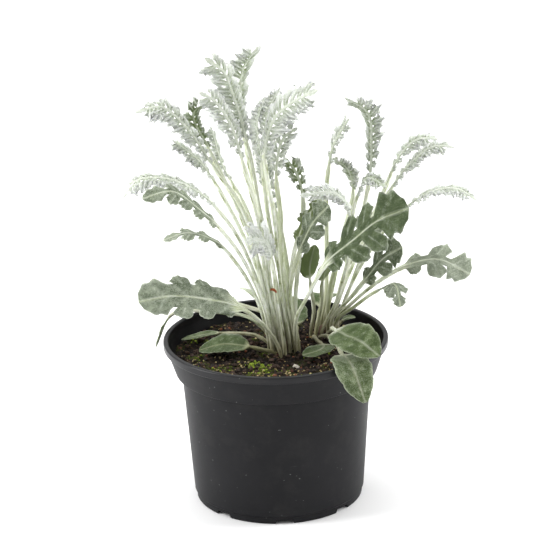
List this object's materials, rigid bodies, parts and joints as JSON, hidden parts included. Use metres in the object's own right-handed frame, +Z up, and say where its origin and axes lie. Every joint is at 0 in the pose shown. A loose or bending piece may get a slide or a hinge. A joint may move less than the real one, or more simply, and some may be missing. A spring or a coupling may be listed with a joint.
{
  "type": "potted dusty miller plant",
  "caption": "Potted dusty miller: upright silvery fern-cut fronds and broad lobed sage leaves on pale stalks, in a round black plastic nursery pot.",
  "frame": {"origin": "centre of the pot's flat foot, on the surface it stands on and on the pot's axis", "axes": "+Z up along the pot's axis, -Y towards the front view, +X to the right in that view"},
  "size_m": [0.2625, 0.1818, 0.3449],
  "materials": {
    "pot_plastic": "satin charcoal black moulded plastic",
    "potting_soil": "dark peat potting soil with grit and moss crumbs",
    "crown_stem": "short woody stem, dull purplish brown",
    "frond_felt": "silvery white felt of fine hairs",
    "leaf_sage": "sage grey-green leaf with pale felt and cream midrib",
    "leaf_green": "duller green low leaf with thin felt"
  },
  "bodies": {
    "root": {"crown_left": "crown_stem", "crown_right": "crown_stem", "frond_back_mid": "frond_felt", "frond_beaded": "frond_felt", "frond_far_right": "frond_felt", "frond_inner_mid": "frond_felt", "frond_inner_right": "frond_felt", "frond_left_arch": "frond_felt", "frond_left_curl": "frond_felt", "frond_left_high": "frond_felt", "frond_left_low": "frond_felt", "frond_left_mid": "frond_felt", "frond_left_small": "frond_felt", "frond_left_thin": "frond_felt", "frond_right_arch": "frond_felt", "frond_right_arch_low": "frond_felt", "frond_right_thin": "frond_felt", "frond_right_upright": "frond_felt", "frond_slim": "frond_felt", "frond_top": "frond_felt", "frond_white_tall": "frond_felt", "leaf_back_left": "leaf_sage", "leaf_back_low": "leaf_green", "leaf_back_right": "leaf_sage", "leaf_back_round": "leaf_green", "leaf_centre_felted": "frond_felt", "leaf_centre_pointed": "leaf_sage", "leaf_dark_round": "leaf_green", "leaf_dark_upright": "leaf_sage", "leaf_far_right": "leaf_sage", "leaf_green_low": "leaf_green", "leaf_left_broad": "leaf_sage", "leaf_left_drooped": "leaf_sage", "leaf_left_ground": "leaf_green", "leaf_left_ground_back": "leaf_green", "leaf_left_narrow": "leaf_sage", "leaf_left_over_rim": "leaf_green", "leaf_left_small_curl": "leaf_green", "leaf_left_small_felted": "leaf_green", "leaf_right_arch": "frond_felt", "leaf_right_broad": "leaf_sage", "leaf_right_curled": "frond_felt", "leaf_right_dark_low": "leaf_green", "leaf_right_drooped": "leaf_sage", "leaf_right_hanging": "leaf_green", "leaf_right_mid": "leaf_sage", "leaf_right_oval": "leaf_green", "leaf_right_small": "leaf_green", "leaf_white_level": "frond_felt", "pot": "pot_plastic", "soil": "potting_soil"}
  },
  "joints": []
}
